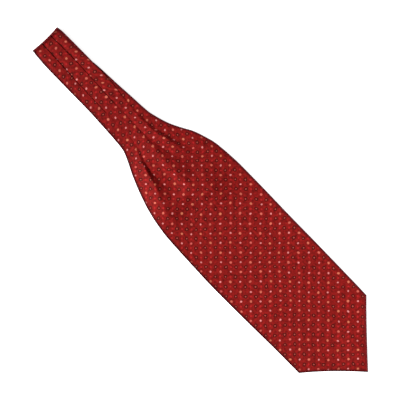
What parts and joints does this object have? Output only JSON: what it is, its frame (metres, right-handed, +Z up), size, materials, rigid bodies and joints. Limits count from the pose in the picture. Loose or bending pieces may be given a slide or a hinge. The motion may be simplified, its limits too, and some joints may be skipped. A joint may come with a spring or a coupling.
{
  "type": "silk cravat, folded in half and laid flat",
  "caption": "Day cravat of red printed silk, folded in half and laid flat: a wide pointed blade whose neck is pressed into knife pleats that open in soft folds.",
  "frame": {"origin": "centre of the bounding box's underside, on the surface that the folded cravat lies on", "axes": "+Y runs along the cravat towards the fold of its neck, with the point towards -Y; +Z is up, out of the face that shows; +X is to the right of the blade, seen from above with the fold at the top"},
  "size_m": [0.1402, 0.6199, 0.0138],
  "materials": {
    "front_silk": "printed silk twill with a soft sheen",
    "back_silk": "printed silk twill with a soft sheen"
  },
  "bodies": {
    "root": {"front_half": "front_silk", "back_half": "back_silk"}
  },
  "joints": []
}
